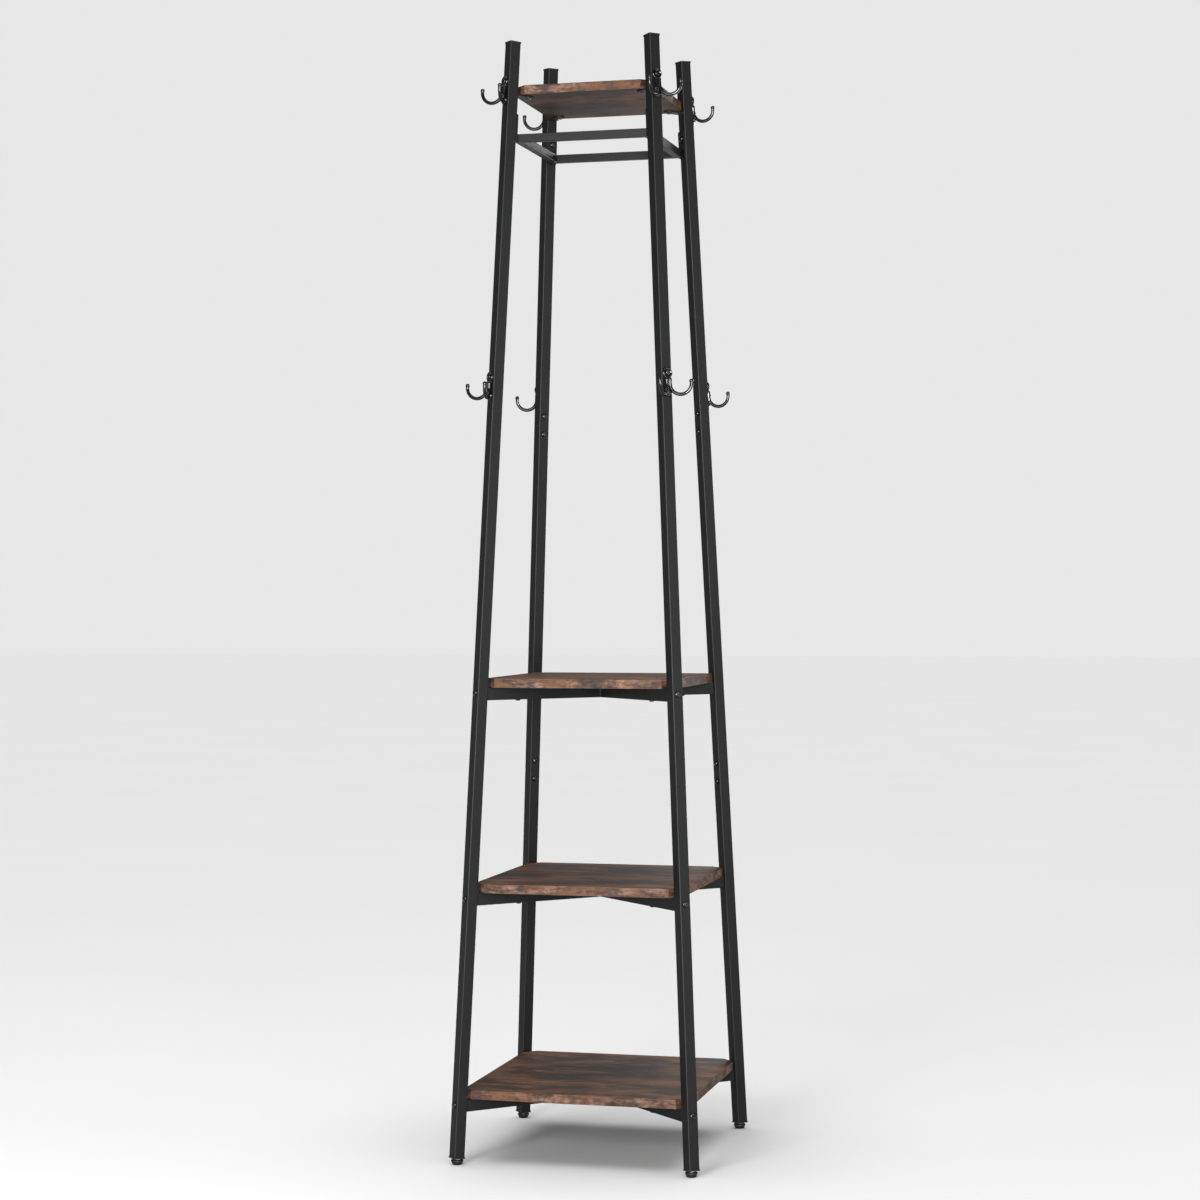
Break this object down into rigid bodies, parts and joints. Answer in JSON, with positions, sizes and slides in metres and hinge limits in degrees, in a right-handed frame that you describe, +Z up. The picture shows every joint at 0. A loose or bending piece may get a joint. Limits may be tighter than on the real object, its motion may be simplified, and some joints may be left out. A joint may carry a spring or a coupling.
{
  "type": "hall tree",
  "caption": "Free-standing hall tree with leaning square steel legs, double hooks, square wooden shelves and screw-in levelling feet.",
  "frame": {"origin": "centre of the footprint on the floor", "axes": "+Z up, front towards -Y, +X to the right when seen from the front"},
  "size_m": [0.4108, 0.4108, 1.8],
  "materials": {
    "powder_coated_steel": "satin powder coat",
    "black_plastic": "moulded",
    "plain_steel": "zinc plated",
    "gloss_black_hook": "gloss",
    "rustic_board": "matt laminate",
    "black_screws": "gloss"
  },
  "bodies": {
    "stand": {"front_left_lower_leg": "powder_coated_steel", "front_left_middle_leg": "powder_coated_steel", "front_left_upper_leg": "powder_coated_steel", "front_left_end_cap": "black_plastic", "front_left_foot_plug": "black_plastic", "front_left_middle_hook": "gloss_black_hook", "front_left_top_hook": "gloss_black_hook", "front_right_lower_leg": "powder_coated_steel", "front_right_middle_leg": "powder_coated_steel", "front_right_upper_leg": "powder_coated_steel", "front_right_end_cap": "black_plastic", "front_right_foot_plug": "black_plastic", "front_right_middle_hook": "gloss_black_hook", "front_right_top_hook": "gloss_black_hook", "back_left_lower_leg": "powder_coated_steel", "back_left_middle_leg": "powder_coated_steel", "back_left_upper_leg": "powder_coated_steel", "back_left_end_cap": "black_plastic", "back_left_foot_plug": "black_plastic", "back_left_middle_hook": "gloss_black_hook", "back_left_top_hook": "gloss_black_hook", "back_right_lower_leg": "powder_coated_steel", "back_right_middle_leg": "powder_coated_steel", "back_right_upper_leg": "powder_coated_steel", "back_right_end_cap": "black_plastic", "back_right_foot_plug": "black_plastic", "back_right_middle_hook": "gloss_black_hook", "back_right_top_hook": "gloss_black_hook", "bottom_shelf": "rustic_board", "bottom_brace_long_bar": "powder_coated_steel", "bottom_brace_short_bars": "powder_coated_steel", "lower_shelf": "rustic_board", "lower_brace_long_bar": "powder_coated_steel", "lower_brace_short_bars": "powder_coated_steel", "upper_shelf": "rustic_board", "upper_brace_long_bar": "powder_coated_steel", "upper_brace_short_bars": "powder_coated_steel", "top_shelf": "rustic_board", "front_ring_bar": "powder_coated_steel", "right_ring_bar": "powder_coated_steel", "back_ring_bar": "powder_coated_steel", "left_ring_bar": "powder_coated_steel", "ring_tabs": "powder_coated_steel", "top_shelf_tabs": "powder_coated_steel", "leg_sleeves": "plain_steel", "brace_end_slugs": "plain_steel", "leg_joint_bolts": "black_screws", "brace_bolts": "black_screws", "ring_bolts": "black_screws", "hook_screws": "black_screws", "shelf_screws": "black_screws", "top_shelf_screws": "black_screws"},
    "front_left_pad": {"front_left_foot_pad": "black_plastic"},
    "front_left_screw": {"front_left_foot_screw": "plain_steel"},
    "front_right_pad": {"front_right_foot_pad": "black_plastic"},
    "front_right_screw": {"front_right_foot_screw": "plain_steel"},
    "back_left_pad": {"back_left_foot_pad": "black_plastic"},
    "back_left_screw": {"back_left_foot_screw": "plain_steel"},
    "back_right_pad": {"back_right_foot_pad": "black_plastic"},
    "back_right_screw": {"back_right_foot_screw": "plain_steel"}
  },
  "joints": [
    {"name": "front_left_foot_height", "type": "slide", "parent": "stand", "child": "front_left_pad", "axis": [0, 0, -1], "range_m": [0, 0.008]},
    {"name": "front_left_foot_turn", "type": "hinge", "parent": "front_left_pad", "child": "front_left_screw", "pos_m": [-0.1911, -0.1911, 0.009], "axis": [0, 0, -1], "range_deg": [0, 2880]},
    {"name": "front_right_foot_height", "type": "slide", "parent": "stand", "child": "front_right_pad", "axis": [0, 0, -1], "range_m": [0, 0.008]},
    {"name": "front_right_foot_turn", "type": "hinge", "parent": "front_right_pad", "child": "front_right_screw", "pos_m": [0.1911, -0.1911, 0.009], "axis": [0, 0, -1], "range_deg": [0, 2880]},
    {"name": "back_left_foot_height", "type": "slide", "parent": "stand", "child": "back_left_pad", "axis": [0, 0, -1], "range_m": [0, 0.008]},
    {"name": "back_left_foot_turn", "type": "hinge", "parent": "back_left_pad", "child": "back_left_screw", "pos_m": [-0.1911, 0.1911, 0.009], "axis": [0, 0, -1], "range_deg": [0, 2880]},
    {"name": "back_right_foot_height", "type": "slide", "parent": "stand", "child": "back_right_pad", "axis": [0, 0, -1], "range_m": [0, 0.008]},
    {"name": "back_right_foot_turn", "type": "hinge", "parent": "back_right_pad", "child": "back_right_screw", "pos_m": [0.1911, 0.1911, 0.009], "axis": [0, 0, -1], "range_deg": [0, 2880]}
  ],
  "couplings": [
    {"joint": "front_left_foot_turn", "follows": "front_left_foot_height", "rad_per_m": 6283.2},
    {"joint": "front_right_foot_turn", "follows": "front_right_foot_height", "rad_per_m": 6283.2},
    {"joint": "back_left_foot_turn", "follows": "back_left_foot_height", "rad_per_m": 6283.2},
    {"joint": "back_right_foot_turn", "follows": "back_right_foot_height", "rad_per_m": 6283.2}
  ]
}
